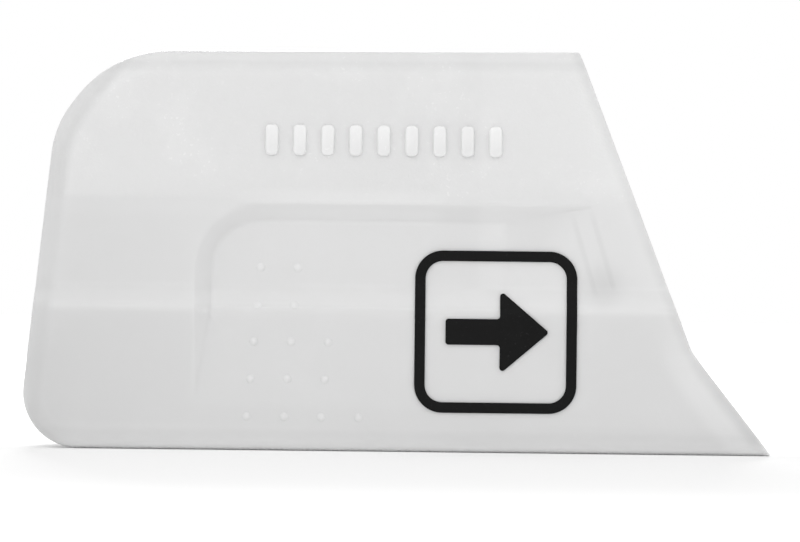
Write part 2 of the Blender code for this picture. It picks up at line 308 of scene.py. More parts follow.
class BladeCapOutline(bpy.types.PropertyGroup):
    """Side outline: flat bottom, leaning closed end, top and a mouth of two slanted edges."""

    end_lean: angle("End lean", "Lean of the closed end from upright", math.radians(6.1))
    top_fall: length(
        "Top fall",
        "How much lower the top edge is over the closed end than at the mouth",
        0.0003,
    )
    low_corner_radius: length("Low corner radius", "Round between the bottom and the closed end", 0.0056)
    high_corner_drop: length(
        "High corner drop",
        "Distance of the high corner's lower end under the top",
        0.0079,
    )
    high_corner_reach: length(
        "High corner reach",
        "Distance of the high corner's upper end from the closed end",
        0.0086,
    )
    high_corner_end_radius: length(
        "High corner end radius",
        "Round of the high corner where it leaves the closed end",
        0.0099,
    )
    high_corner_top_radius: length(
        "High corner top radius",
        "Round of the high corner where it meets the top",
        0.0120,
    )
    mouth_top_setback: length(
        "Mouth top setback",
        "How far the top of the mouth lies behind its toe",
        0.0196,
    )
    mouth_break_setback: length(
        "Mouth break setback",
        "How far the break in the mouth lies behind its toe",
        0.0081,
    )
    mouth_break_height: length("Mouth break height", "Height of the break in the mouth", 0.0103)
    mouth_break_radius: length("Mouth break radius", "Round of the break in the mouth", 0.0033)


class BladeCapShell(bpy.types.PropertyGroup):
    """Walls, folds and roundings of a half shell, with what is moulded on it."""

    bottom_half_width: length("Bottom half width", "Half of the thickness at the bottom", 0.0102)
    full_half_width: length(
        "Full half width",
        "Half of the thickness at the foot of the ramp, where the cap is thickest",
        0.0105,
    )
    middle_half_width: length(
        "Middle half width",
        "Half of the thickness between the ramp and the crease",
        0.0096,
    )
    top_half_width: length("Top half width", "Half of the thickness at the top", 0.0084)
    side_draft: angle(
        "Side draft",
        "How much the sides draw in towards the closed end",
        math.radians(0.5),
    )
    ramp_foot: length("Ramp foot", "Height of the foot of the ramp along the side", 0.0143)
    ramp_head: length("Ramp head", "Height of the head of the ramp along the side", 0.0162)
    crease: length("Crease", "Height at which the side begins to lean in", 0.0249)
    edge_radius: length("Edge radius", "Rounding between the side and the rim", 0.0023)
    face_wall: length("Side wall", "Wall of the side", 0.0016)
    rim_wall: length("Rim wall", "Wall of the rim", 0.0024)
    cavity_radius: length("Inner radius", "Rounding inside, between the side and the rim", 0.0010)
    lip_wall: length("Lip wall", "Wall of the side at the very edge of the mouth", 0.0009)
    lead_in: length("Lead-in", "How far in from the mouth the wall is thinned", 0.0030)
    lip_softness: length("Lip softness", "Rounding of the outer edge of the mouth", 0.00018)
    seam_gap: length(
        "Seam gap",
        "Distance between the two shells where they are pressed together",
        0.00006,
    )
    seam_bevel: length("Seam bevel", "Bevel of the rim's edge along the seam", 0.00018)


class BladeCapDetails(bpy.types.PropertyGroup):
    """Finger panel, dots, bars, rib, bead and printed mark."""

    panel_start: length("Panel start", "Distance of the finger panel from the closed end", 0.0171)
    panel_end: length("Panel end", "Where the finger panel has run out, from the closed end", 0.0570)
    panel_full: length(
        "Panel full depth to",
        "Where the finger panel begins to run out, from the closed end",
        0.0480,
    )
    panel_low: length("Panel foot", "Height at which the finger panel has run out", 0.0045)
    panel_land: length("Panel land", "Distance of the finger panel under the crease", 0.00015)
    panel_bevel: length("Panel bevel", "Width of the slope above and behind the finger panel", 0.0017)
    panel_depth: length("Panel depth", "Depth of the finger panel", 0.0006)
    panel_radius: length("Panel corner radius", "Round of the finger panel's upper corner", 0.0067)
    panel_softness: length("Panel softness", "Width of the soft edge round the finger panel", 0.0003)
    dot_pitch: length("Dot pitch", "Distance of one grip dot from the next", 0.00372)
    dot_radius: length("Dot radius", "Radius of a grip dot", 0.00045)
    dot_height: length("Dot height", "How far a grip dot stands out", 0.00008)
    bar_height: length("Bar height", "How far the bars of the raised row stand out", 0.00030)
    rib_start: length("Stop rib", "Distance of the stop rib from the closed end", 0.0438)
    rib_thickness: length("Stop rib thickness", "Thickness of the stop rib", 0.0023)
    blade_slot: length("Blade slot", "Width of the slot between the two stop ribs", 0.0050)
    bead_width: length("Bead width", "Width of the snap bead", 0.0020)
    bead_height: length("Bead height", "How far the snap bead stands in from the wall", 0.0007)
    print_size: length("Mark size", "Width and height of the printed frame", 0.0162)
    print_stroke: length("Mark stroke", "Width of the printed frame's line", 0.00105)
    print_film: length("Ink film", "Thickness of the printed film", 0.00003)


class BladeCapFinish(bpy.types.PropertyGroup):
    """Colours of the plastic, the ink and the stage."""

    plastic: colour("Plastic", "Colour of the milky plastic", (0.712, 0.712, 0.712))
    ink: colour("Ink", "Colour of the printed mark", (0.004, 0.004, 0.004))
    floor: colour("Floor", "Colour of the floor", (0.94, 0.94, 0.94))
    scatter: length("Scatter depth", "How far light wanders in the plastic", 0.0014)
    # the room's walls are painted paler than the plastic for the light that comes through them
    inside: colour(
        "Inside",
        "Colour of the room's walls, which the light that comes through them makes paler",
        (0.90, 0.90, 0.90),
    )
    inside_scatter: length(
        "Inside scatter depth",
        "How far light wanders behind the room's walls",
        0.0040,
    )


def outline_sizes():
    return bpy.context.scene.blade_cap_outline


def shell_sizes():
    return bpy.context.scene.blade_cap_shell


def detail_sizes():
    return bpy.context.scene.blade_cap_details


def finish_values():
    return bpy.context.scene.blade_cap_finish


# Where things are


def from_end(distance):
    """X of a point that lies this far from the closed end."""
    return CLOSED_END_X + distance


def end_line_x(z):
    """X of the leaning closed end, which is tangent to the low corner's round."""
    o = outline_sizes()
    lean = (1 + math.sin(o.end_lean)) / math.cos(o.end_lean)
    return from_end(o.low_corner_radius * (1 - lean)) + z * math.tan(o.end_lean)


def top_line_z(x):
    """Height of the top edge, which falls from the mouth to the closed end."""
    o = outline_sizes()
    mouth = TOE_X - o.mouth_top_setback
    return TOP_Z - o.top_fall * (mouth - x) / (mouth - CLOSED_END_X)


def side_corners():
    """Corners of the side outline, counter-clockwise from the foot of the closed end."""
    o = outline_sizes()
    high_z = TOP_Z - o.high_corner_drop
    high_x = from_end(o.high_corner_reach)
    return (
        Vector((end_line_x(0), 0)),
        Vector((TOE_X, 0)),
        Vector((TOE_X - o.mouth_break_setback, o.mouth_break_height)),
        Vector((TOE_X - o.mouth_top_setback, TOP_Z)),
        Vector((high_x, top_line_z(high_x))),
        Vector((end_line_x(high_z), high_z)),
    )


def crossing(point_a, along_a, point_b, along_b):
    """Where two lines cross."""
    way = (point_b - point_a).cross(along_b) / along_a.cross(along_b)
    return point_a + along_a * way


def inset_corners(rim, mouth):
    """Corners of the outline moved in by rim at its closed edges and by mouth at its mouth."""
    corners = side_corners()
    insets = (rim, mouth, mouth, rim, rim, rim)
    lines = []
    for index, corner in enumerate(corners):
        along = (corners[(index + 1) % len(corners)] - corner).normalized()
        inward = Vector((-along.y, along.x))
        lines.append((corner + inward * insets[index], along))
    return [crossing(*lines[index - 1], *lines[index]) for index in range(len(corners))]


def outline_corners(rim, mouth):
    """The rounded corners of the side outline, moved in, from the toe round to its foot."""
    o = outline_sizes()
    foot, toe, bend, top, high_top, high_end = inset_corners(rim, mouth)
    return [
        (toe, 0),
        (bend, o.mouth_break_radius + mouth),
        (top, 0),
        (high_top, o.high_corner_top_radius - rim),
        (high_end, o.high_corner_end_radius - rim),
        (foot, o.low_corner_radius - rim),
    ]


def closed_stops(rim, mouth):
    """Stops of a line along the closed edges, from the top of the mouth to its toe."""
    toe, _, *closed = outline_corners(rim, mouth)
    return [*closed, toe]


def mouth_stops(rim, mouth):
    """Stops of a line along the mouth, from its toe to its top."""
    return outline_corners(rim, mouth)[:3]


def half_width(x, z):
    """Distance of the cap's outer side from the middle plane."""
    s = shell_sizes()
    folds = (
        (0, s.bottom_half_width),
        (s.ramp_foot, s.full_half_width),
        (s.ramp_head, s.middle_half_width),
        (s.crease, s.middle_half_width),
        (TOP_Z, s.top_half_width),
    )
    width = folds[0][1]
    for (low, low_width), (high, high_width) in zip(folds, folds[1:]):
        share = min(max((z - low) / (high - low), 0), 1)
        width += (high_width - low_width) * share
    return width - (TOE_X - x) * math.tan(s.side_draft)


def panel_floor_depth(z):
    """Depth of the finger panel's floor at a height."""
    s, d = shell_sizes(), detail_sizes()
    share = (z - d.panel_low) / (s.ramp_foot - d.panel_low)
    return d.panel_depth * min(max(share, 0), 1)


# Modelling by hand


def choose_nothing():
    bpy.ops.object.select_all(action="DESELECT")


def choose_all():
    bpy.ops.mesh.select_all(action="SELECT")


def new_mesh(name, place):
    """Adds a mesh of one point and leaves it in edit mode."""
    choose_nothing()
    bpy.ops.mesh.primitive_plane_add(size=0.001, location=(0, 0, 0))
    thing = bpy.context.object
    thing.name = name
    thing.data.name = name
    bpy.ops.object.mode_set(mode="EDIT")
    bpy.ops.mesh.select_mode(type="VERT")
    choose_all()
    bpy.ops.mesh.merge(type="CENTER")
    bpy.ops.transform.translate(value=place)
    return thing


def add_point(place):
    """Adds a loose point to the mesh in edit mode and selects it alone."""
    bpy.ops.mesh.select_mode(type="VERT")
    bpy.ops.mesh.select_all(action="DESELECT")
    bpy.ops.mesh.primitive_plane_add(size=0.001, location=(0, 0, 0))
    bpy.ops.mesh.merge(type="CENTER")
    bpy.ops.transform.translate(value=place)


def draw_line(stops, depth, steps):
    """Draws a line from the selected point, which is the first stop, and spins its rounds."""
    here = stops[0][0]
    for index, (corner, radius) in enumerate(stops[1:], 1):
        goal = corner
        if radius > 0:
            back = (stops[index - 1][0] - corner).normalized()
            on = (stops[index + 1][0] - corner).normalized()
            half = back.angle(on) / 2
            goal = corner + back * radius / math.tan(half)
        way = goal - here
        bpy.ops.mesh.extrude_region_move(TRANSFORM_OT_translate={"value": (way.x, 0, way.y)})
        here = goal
        if radius > 0:
            centre = corner + (back + on).normalized() * radius / math.sin(half)
            bpy.ops.mesh.spin(
                steps=steps,
                angle=math.copysign(math.pi - 2 * half, on.cross(back)),
                center=(centre.x, depth, centre.y),
                axis=(0, 1, 0),
            )
            here = corner + on * radius / math.tan(half)


def choose(kind, test):
    """Selects in edit mode the points, edges or faces that pass the test."""
    mesh_data = bpy.context.object.data
    bpy.ops.mesh.select_mode(type=kind)
    bpy.ops.mesh.select_all(action="DESELECT")
    mesh = bmesh.from_edit_mesh(mesh_data)
    for item in {"VERT": mesh.verts, "EDGE": mesh.edges, "FACE": mesh.faces}[kind]:
        item.select_set(bool(test(item)))
    bmesh.update_edit_mesh(mesh_data)


def turn_outwards():
    """Merges doubles and turns the faces of the mesh in edit mode outwards."""
    bpy.ops.mesh.select_mode(type="VERT")
    choose_all()
    bpy.ops.mesh.remove_doubles(threshold=NEAR)
    bpy.ops.mesh.normals_make_consistent(inside=False)


def extrude(move):
    bpy.ops.mesh.extrude_region_move(TRANSFORM_OT_translate={"value": move})


def draw_face(name, corners, depth, steps):
    """A flat face round its corners, each with its round, left in edit mode and selected."""
    start = (corners[-1][0] + corners[0][0]) / 2
    thing = new_mesh(name, (start.x, depth, start.y))
    draw_line([(start, 0), *corners, (start, 0)], depth, steps)
    choose_all()
    bpy.ops.mesh.remove_doubles(threshold=NEAR)
    bpy.ops.mesh.edge_face_add()
    return thing


def draw_block(name, corners, near, far, steps):
    """A solid with an outline of rounded corners, between two depths, left in edit mode."""
    thing = draw_face(name, corners, near, steps)
    extrude((0, far - near, 0))
    turn_outwards()
    return thing


def draw_strip(name, line_a, depth_a, line_b, depth_b, thickness, steps):
    """A solid strip between two lines of stops at two depths, left in edit mode."""
    start = line_a[0][0]
    thing = new_mesh(name, (start.x, depth_a, start.y))
    draw_line(line_a, depth_a, steps)
    start = line_b[0][0]
    add_point((start.x, depth_b, start.y))
    draw_line(line_b, depth_b, steps)
    choose_all()
    bpy.ops.mesh.remove_doubles(threshold=NEAR)
    bpy.ops.mesh.bridge_edge_loops()
    choose_all()
    extrude((0, thickness, 0))
    turn_outwards()
    return thing


def bevel(width, steps):
    bpy.ops.mesh.bevel(
        offset_type="OFFSET",
        offset=width,
        segments=steps,
        profile=0.5,
        affect="EDGES",
        clamp_overlap=False,
    )


def leave_edit(thing):
    bpy.ops.object.mode_set(mode="OBJECT")
    return thing


def close_up(thing):
    """Turns the faces of the mesh in edit mode outwards and leaves it."""
    turn_outwards()
    return leave_edit(thing)


def choose_piece(thing):
    choose_nothing()
    bpy.context.view_layer.objects.active = thing
    thing.select_set(True)


def enter_edit(thing):
    choose_piece(thing)
    bpy.ops.object.mode_set(mode="EDIT")


def apply_modifier(thing, kind, name, **values):
    """Adds a modifier to a piece, sets it and applies it."""
    choose_piece(thing)
    modifier = thing.modifiers.new(name, kind)
    for key, value in values.items():
        setattr(modifier, key, value)
    bpy.ops.object.modifier_apply(modifier=modifier.name)


def combine(thing, tool, operation):
    """Cuts a tool out of a piece or joins it on, and removes the tool."""
    apply_modifier(thing, "TRIANGULATE", "triangles", min_vertices=5)
    apply_modifier(
        thing, "BOOLEAN", "combine", solver="EXACT", operation=operation, object=tool
    )
    apply_modifier(thing, "WELD", "weld", merge_threshold=MERGE)
    bpy.data.objects.remove(tool, do_unlink=True)


def level_with(value, goal):
    return abs(value - goal) < NEAR


def lies_at(edge, depth):
    """Whether an edge lies at one depth."""
    return all(level_with(vert.co.y, depth) for vert in edge.verts)


def middle(item):
    return sum((vert.co for vert in item.verts), Vector()) / len(item.verts)


def looks_along_side(face):
    """Whether a face looks along the cap's side and not out of it."""
    return abs(face.normal.y) < 0.5


def mouth_x(z):
    """X of the mouth's outline at a height."""
    _, toe, bend, top, _, _ = side_corners()
    low, high = (toe, bend) if z < bend.y else (bend, top)
    return low.lerp(high, (z - low.y) / (high.y - low.y)).x


def on_mouth(point):
    return point.x > mouth_x(point.z) - MOUTH_SLACK


# Shapes of the shells


def fold_levels():
    """Heights between which the side is straight: both ends of the ramp are among them.

    They are as close as a lattice's limit on points allows.
    """
    s = shell_sizes()
    ramp = s.ramp_head - s.ramp_foot
    steps = max(1, int(CAGE_LIMIT * ramp / TOP_Z))
    pitch = ramp / steps
    below = int(s.ramp_foot / pitch)
    above = int((TOP_Z - s.ramp_foot) / pitch)
    return pitch, [s.ramp_foot + pitch * step for step in range(-below, above + 1)]


def cut_levels():
    """Cuts the mesh in edit mode at the heights where the folded side bends."""
    s = shell_sizes()
    pitch, levels = fold_levels()
    folds = (s.ramp_foot, s.ramp_head, s.crease)
    for z in levels:
        if min(abs(z - fold) for fold in folds) < 2 * pitch:
            choose_all()
            bpy.ops.mesh.bisect(plane_co=(0, 0, z), plane_no=(0, 0, 1), threshold=NEAR)
    turn_outwards()


def fold(thing):
    """Lays a piece that was shaped on a flat side on the cap's folded side."""
    pitch, levels = fold_levels()
    span_x = TOE_X - CLOSED_END_X + 4 * OVERRUN
    span_z = levels[-1] - levels[0]
    deep = 4 * FRONT_LOW.y
    choose_nothing()
    bpy.ops.object.add(
        type="LATTICE",
        location=((TOE_X + CLOSED_END_X) / 2, 0, (levels[0] + levels[-1]) / 2),
    )
    cage = bpy.context.object
    cage.scale = (span_x, -deep, span_z)
    cage.data.points_u = 2
    cage.data.points_v = 2
    cage.data.points_w = len(levels)
    for axis in "uvw":
        setattr(cage.data, "interpolation_type_" + axis, "KEY_LINEAR")
    bpy.context.view_layer.update()
    for point in cage.data.points:
        place = cage.matrix_world @ point.co
        width = half_width(place.x, place.z) * (1 - FOLD_SOFTNESS)
        width += half_width(place.x, place.z - pitch) * FOLD_SOFTNESS / 2
        width += half_width(place.x, place.z + pitch) * FOLD_SOFTNESS / 2
        point.co_deform.y = point.co.y - width / cage.scale.y
    apply_modifier(thing, "LATTICE", "fold", object=cage)
    bpy.data.objects.remove(cage, do_unlink=True)


def trim(thing, depth):
    """Cuts off what reaches past a depth, and closes the cut."""
    enter_edit(thing)
    choose_all()
    bpy.ops.mesh.bisect(
        plane_co=(0, depth, 0),
        plane_no=(0, 1, 0),
        clear_outer=True,
        use_fill=True,
        threshold=NEAR,
    )


def outer_block():
    """The outside of a half shell on a flat side, with its rounded edge and soft lip."""
    s = shell_sizes()
    thing = draw_block("shell", outline_corners(0, 0), 0, BLOCK_DEPTH, CORNER_STEPS)
    choose("EDGE", lambda edge: lies_at(edge, 0) and not on_mouth(middle(edge)))
    bevel(s.edge_radius, EDGE_STEPS)
    choose(
        "EDGE",
        lambda edge: sum(on_mouth_face(face) for face in edge.link_faces) == 1
        and len(edge.link_faces) == 2,
    )
    bevel(s.lip_softness, SOFT_STEPS)
    return close_up(thing)


def on_mouth_face(face):
    return all(on_mouth(vert.co) for vert in face.verts)


def cavity_block():
    """The room for the blade and the nose of the handle, on a flat side."""
    s = shell_sizes()
    corners = outline_corners(s.rim_wall, -OVERRUN)
    thing = draw_block("cavity", corners, s.face_wall, BLOCK_DEPTH + OVERRUN, CORNER_STEPS)
    choose("EDGE", lambda edge: lies_at(edge, s.face_wall) and not on_mouth(middle(edge)))
    bevel(s.cavity_radius, INNER_STEPS)
    return close_up(thing)


def lead_in_block():
    """The slope that thins the wall to its lip."""
    s = shell_sizes()
    rim = s.rim_wall + s.cavity_radius
    rise = (s.face_wall - s.lip_wall) * OVERRUN / s.lead_in
    thing = draw_strip(
        "lead_in",
        mouth_stops(rim, s.lead_in + OVERRUN),
        s.face_wall + rise,
        mouth_stops(rim, -OVERRUN),
        s.lip_wall - rise,
        OVERRUN,
        BEND_STEPS,
    )
    return leave_edit(thing)


def panel_block():
    """The hollow of the finger panel: steep above and behind, running out elsewhere."""
    s, d = shell_sizes(), detail_sizes()
    grow = CLEAR_OF_SIDE / d.panel_depth
    top = s.crease - d.panel_land
    steep = d.panel_bevel * (1 + grow)
    left = from_end(d.panel_start) - d.panel_bevel * grow
    right = from_end(d.panel_end + (d.panel_end - d.panel_full) * grow)
    low = d.panel_low - (s.ramp_foot - d.panel_low) * grow
    high = top + d.panel_bevel * grow
    corners = [
        (Vector((left, high)), d.panel_radius + d.panel_bevel * grow),
        (Vector((left, low)), 0),
        (Vector((right, low)), 0),
        (Vector((right, high)), 0),
    ]
    thing = draw_face("panel", corners, -CLEAR_OF_SIDE, CORNER_STEPS)
    bpy.ops.mesh.select_mode(type="FACE")
    bpy.ops.mesh.inset(thickness=steep, depth=0)
    bpy.ops.transform.translate(value=(0, d.panel_depth + CLEAR_OF_SIDE, 0))
    floor_right = from_end(d.panel_full)
    choose(
        "VERT",
        lambda vert: level_with(vert.co.y, d.panel_depth) and level_with(vert.co.x, right - steep),
    )
    bpy.ops.transform.translate(value=(floor_right - right + steep, 0, 0))
    choose(
        "VERT",
        lambda vert: level_with(vert.co.y, d.panel_depth) and level_with(vert.co.z, low + steep),
    )
    bpy.ops.transform.translate(value=(0, 0, s.ramp_foot - low - steep))
    choose("EDGE", lambda edge: lies_at(edge, -CLEAR_OF_SIDE))
    bpy.ops.mesh.edge_face_add()
    return close_up(thing)


def dot_places():
    """Places of the grip dots, in rows that lean nearly as the closed end does."""
    pitch = detail_sizes().dot_pitch
    lean = math.tan(DOT_LEAN)
    for row, count in enumerate(DOT_ROWS):
        z = DOT_START.y + pitch * row
        for column in range(count):
            yield DOT_START.x + CLOSED_END_X + pitch * (column + row * lean), z


def dots_block():
    """The grip dots: flat lenses, mostly sunk in the panel's floor."""
    d = detail_sizes()
    radius = d.dot_radius / math.sqrt(1 - DOT_SUNK ** 2)
    depth = d.dot_height / (1 - DOT_SUNK)
    choose_nothing()
    bpy.ops.mesh.primitive_uv_sphere_add(
        segments=DOT_STEPS,
        ring_count=DOT_STEPS,
        radius=radius,
        rotation=(math.radians(90), 0, 0),
    )
    thing = bpy.context.object
    bpy.ops.object.transform_apply(location=True, rotation=True, scale=True)
    bpy.ops.object.mode_set(mode="EDIT")
    choose_all()
    bpy.ops.transform.resize(value=(1, depth / radius, 1))
    bpy.ops.transform.translate(value=(0, depth * DOT_SUNK, 0))
    here = Vector()
    for number, (x, z) in enumerate(dot_places()):
        place = Vector((x, panel_floor_depth(z), z))
        if number:
            bpy.ops.mesh.duplicate()
        bpy.ops.transform.translate(value=place - here)
        here = place
    return close_up(thing)


def bead_ends():
    """The bead's lower and upper end, where the wall is seen from the side."""
    ends = []
    for z, setback in BEAD_ENDS:
        _, _, low, high, _, _ = inset_corners(0, setback)
        ends.append(low.lerp(high, (z - low.y) / (high.y - low.y)))
    return ends


def bead_block():
    """The slanted bead inside the mouth."""
    s, d = shell_sizes(), detail_sizes()
    ends = bead_ends()
    along = (ends[1] - ends[0]).normalized() * d.bead_width / 2
    across = Vector((along.y, -along.x))
    radius = d.bead_width / 2 * BEAD_END_ROUND
    corners = [
        (ends[0] - along + across, radius),
        (ends[1] + along + across, radius),
        (ends[1] + along - across, radius),
        (ends[0] - along - across, radius),
    ]
    top = s.face_wall + d.bead_height
    thing = draw_block("bead", corners, s.face_wall - ROOT, top, BEND_STEPS)
    choose("EDGE", lambda edge: lies_at(edge, top))
    bevel(d.bead_height * BEAD_TOP_ROUND, ROUND_STEPS)
    return close_up(thing)


def rib_block():
    """The stop rib, folded and cut off beside the blade's slot."""
    s, d = shell_sizes(), detail_sizes()
    left = from_end(d.rib_start)
    right = left + d.rib_thickness
    low = s.ramp_head + CLEAR_OF_SIDE
    high = top_line_z(left) - s.rim_wall + ROOT
    corners = [(Vector(p), 0) for p in ((left, low), (right, low), (right, high), (left, high))]
    thing = draw_block("rib", corners, s.face_wall - ROOT, BLOCK_DEPTH, 1)
    cut_levels()
    fold(leave_edit(thing))
    end = -d.blade_slot / 2
    trim(thing, end)
    choose(
        "EDGE",
        lambda edge: lies_at(edge, end)
        and len(edge.link_faces) == 2
        and any(looks_along_side(face) for face in edge.link_faces),
    )
    bevel(RIB_SOFTNESS, SOFT_STEPS)
    return close_up(thing)


def bars_block():
    """A row of plain raised bars on the upper plane."""
    d = detail_sizes()
    choose_nothing()
    bpy.ops.mesh.primitive_cube_add(size=1)
    thing = bpy.context.object
    bpy.ops.object.mode_set(mode="EDIT")
    choose_all()
    bpy.ops.transform.resize(value=(BAR_WIDTH, d.bar_height + ROOT, BAR_LENGTH))
    bpy.ops.transform.translate(value=(0, (ROOT - d.bar_height) / 2, 0))
    choose("EDGE", lambda edge: abs(edge.verts[0].co.y - edge.verts[1].co.y) > ROOT / 2)
    bevel(BAR_CORNER, INNER_STEPS)
    choose("EDGE", lambda edge: lies_at(edge, -d.bar_height))
    bevel(d.bar_height * BAR_TOP_ROUND, ROUND_STEPS)
    bpy.ops.mesh.select_mode(type="VERT")
    choose_all()
    first = from_end(BARS_CENTRE.x) - BAR_PITCH * (BAR_COUNT - 1) / 2
    bpy.ops.transform.translate(value=(first, 0, BARS_CENTRE.y))
    for _ in range(BAR_COUNT - 1):
        bpy.ops.mesh.duplicate()
        bpy.ops.transform.translate(value=(BAR_PITCH, 0, 0))
    return close_up(thing)


def rim_band(name, slack, low, high):
    """A band along the middle of the rim, between two depths, for the tongue and the groove."""
    inset = (shell_sizes().rim_wall - TONGUE_THICKNESS) / 2
    setback = TONGUE_MOUTH_SETBACK - slack
    outer = closed_stops(inset - slack, setback)
    inner = closed_stops(inset + TONGUE_THICKNESS + slack, setback)
    thing = draw_strip(name, outer, low, inner, low, high - low, CORNER_STEPS)
    return leave_edit(thing)


def half_shell(name, barred):
    """A half shell on the front side, all but its half of the seam."""
    s = shell_sizes()
    thing = outer_block()
    thing.name = name
    thing.data.name = name
    combine(thing, panel_block(), "DIFFERENCE")
    soften_panel(thing)
    combine(thing, cavity_block(), "DIFFERENCE")
    combine(thing, lead_in_block(), "DIFFERENCE")
    combine(thing, bead_block(), "UNION")
    combine(thing, dots_block(), "UNION")
    if barred:
        combine(thing, bars_block(), "UNION")
    enter_edit(thing)
    cut_levels()
    fold(leave_edit(thing))
    face = -s.seam_gap / 2
    trim(thing, face)
    choose("EDGE", lambda edge: lies_at(edge, face) and on_rim_outside(edge))
    bevel(s.seam_bevel, SOFT_STEPS)
    close_up(thing)
    combine(thing, rib_block(), "UNION")
    return thing


def on_rim_outside(edge):
    """Whether an edge lies along the outside of the rim, away from the mouth."""
    place = middle(edge)
    if on_mouth(place):
        return False
    outward = place - Vector((0, place.y, TOP_Z / 2))
    return any(
        looks_along_side(face) and face.normal.dot(outward) > 0 for face in edge.link_faces
    )


def soften_panel(thing):
    """Rounds the border and the floor's edge of the finger panel."""
    s, d = shell_sizes(), detail_sizes()
    enter_edit(thing)
    choose_all()
    bpy.ops.mesh.dissolve_limited(angle_limit=FLAT_WITHIN)

    def inside(edge):
        place = middle(edge)
        return (
            from_end(d.panel_start) - NEAR < place.x < from_end(d.panel_end) + NEAR
            and d.panel_low - NEAR < place.z < s.crease
        )

    choose(
        "EDGE",
        lambda edge: inside(edge) and (lies_at(edge, 0) or lies_at(edge, d.panel_depth)),
    )
    bevel(d.panel_softness, ROUND_STEPS)
    close_up(thing)


def round_a_dot(edge):
    """Whether an edge lies on the border of a grip dot."""
    place = middle(edge)
    if len(edge.link_faces) != 2 or edge.calc_face_angle() < DOT_BORDER_ANGLE:
        return False
    radius = detail_sizes().dot_radius
    return any(
        abs(math.hypot(place.x - x, place.z - z) - radius) < radius / 3 for x, z in dot_places()
    )


def finish_mesh(thing):
    """Splits the many-sided faces and shades the piece smooth but for its sharp edges."""
    enter_edit(thing)
    choose("FACE", lambda face: len(face.verts) > 4)
    bpy.ops.mesh.quads_convert_to_tris(quad_method="BEAUTY", ngon_method="BEAUTY")
    choose("EDGE", round_a_dot)
    bpy.ops.mesh.mark_sharp()
    leave_edit(thing)
    choose_piece(thing)
    bpy.ops.object.shade_smooth_by_angle(angle=SMOOTH_BELOW)
    apply_modifier(thing, "WEIGHTED_NORMAL", "flat_faces_first", keep_sharp=True)


# Materials


def new_group(name, outputs, **amounts):
    """A shader node group that takes a place and amounts, and puts out values over the surface."""
    tree = bpy.data.node_groups.new(name, "ShaderNodeTree")
    tree.interface.new_socket("Vector", in_out="INPUT", socket_type="NodeSocketVector")
    for label, default in amounts.items():
        socket = tree.interface.new_socket(label, in_out="INPUT", socket_type="NodeSocketFloat")
        socket.default_value = default
    for label in outputs:
        tree.interface.new_socket(label, in_out="OUTPUT", socket_type="NodeSocketFloat")
    return tree, tree.nodes.new("NodeGroupInput").outputs, tree.nodes.new("NodeGroupOutput").inputs


def set_values(node, values):
    """Sets a node's own sockets by their names."""
    for name, value in values.items():
        node.inputs[name].default_value = value


def split_place(tree, place):
    """X, Y and Z of a place."""
    node = tree.nodes.new("ShaderNodeSeparateXYZ")
    tree.links.new(place, node.inputs[0])
    return node.outputs


def maths(tree, operation, first, second=None, third=None):
    """A Math node on sockets or numbers, and its result."""
    node = tree.nodes.new("ShaderNodeMath")
    node.operation = operation
    for index, value in enumerate((first, second, third)):
        if value is None:
            continue
        if isinstance(value, bpy.types.NodeSocket):
            tree.links.new(value, node.inputs[index])
        else:
            node.inputs[index].default_value = value
    return node.outputs[0]


def times(tree, first, second):
    return maths(tree, "MULTIPLY", first, second)


def without(tree, value, mask):
    """A value where a mask is 0, and nothing where it is 1."""
    return times(tree, value, maths(tree, "SUBTRACT", 1, mask))


def ease(tree, value, start, end):
    """Smoothly from 0 at start to 1 at end, which may lie below it."""
    node = tree.nodes.new("ShaderNodeMapRange")
    node.interpolation_type = "SMOOTHSTEP"
    tree.links.new(value, node.inputs["Value"])
    if start > end:
        start, end = end, start
        set_values(node, {"To Min": 1, "To Max": 0})
    set_values(node, {"From Min": start, "From Max": end})
    return node.outputs["Result"]


def ease_out(tree, value, full, gone):
    """Smoothly from 1 at full to 0 at gone."""
    return ease(tree, value, gone, full)


def noise(tree, place, name):
    """A noise of the finish by its name, between 0 and 1."""
    node = tree.nodes.new("ShaderNodeTexNoise")
    tree.links.new(place, node.inputs["Vector"])
    set_values(node, dict(zip(("Scale", "Detail", "Roughness"), NOISES[name])))
    return node.outputs["Fac"]


def moulded_grain():
    """Spark-eroded grain: a height for bumps, cloudy patches, and bright specks mostly in them that are
    painted glints of its sparkle.
    """
    tree, given, out = new_group("moulded_grain", ("Height", "Patches", "Painted glints"), Amount=1.0)
    place, amount = given["Vector"], given["Amount"]
    fine = noise(tree, place, "fine_grain")
    height = maths(tree, "MULTIPLY_ADD", noise(tree, place, "coarse_grain"), COARSE_GRAIN, fine)
    tree.links.new(times(tree, height, amount), out["Height"])
    patches = ease(tree, noise(tree, place, "patches"), *PATCHES_COUNT)
    patches = times(tree, patches, amount)
    tree.links.new(patches, out["Patches"])
    specks = ease(tree, noise(tree, place, "specks"), *SPECKS_COUNT)
    elsewhere = times(tree, amount, 1 - SPECKS_IN_PATCHES)
    among = maths(tree, "MULTIPLY_ADD", patches, SPECKS_IN_PATCHES, elsewhere)
    tree.links.new(times(tree, specks, among), out["Painted glints"])
    return tree


def line_distance(tree, x, z, start, end):
    """Distance of a point from a line, positive on the left of the way from start to end."""
    along = (end - start).normalized()
    across = Vector((-along.y, along.x))
    part = maths(tree, "MULTIPLY_ADD", x, across.x, -across.dot(start))
    return maths(tree, "MULTIPLY_ADD", z, across.y, part)


def band(tree, value, start, full, end, gone):
    """0 outside of start and gone, 1 between full and end."""
    return times(tree, ease(tree, value, start, full), ease(tree, value, gone, end))


def root_of_squares(tree, first, second):
    """Distance from two sides at right angles."""
    squares = maths(tree, "MULTIPLY_ADD", second, second, times(tree, first, first))
    return maths(tree, "SQRT", squares)


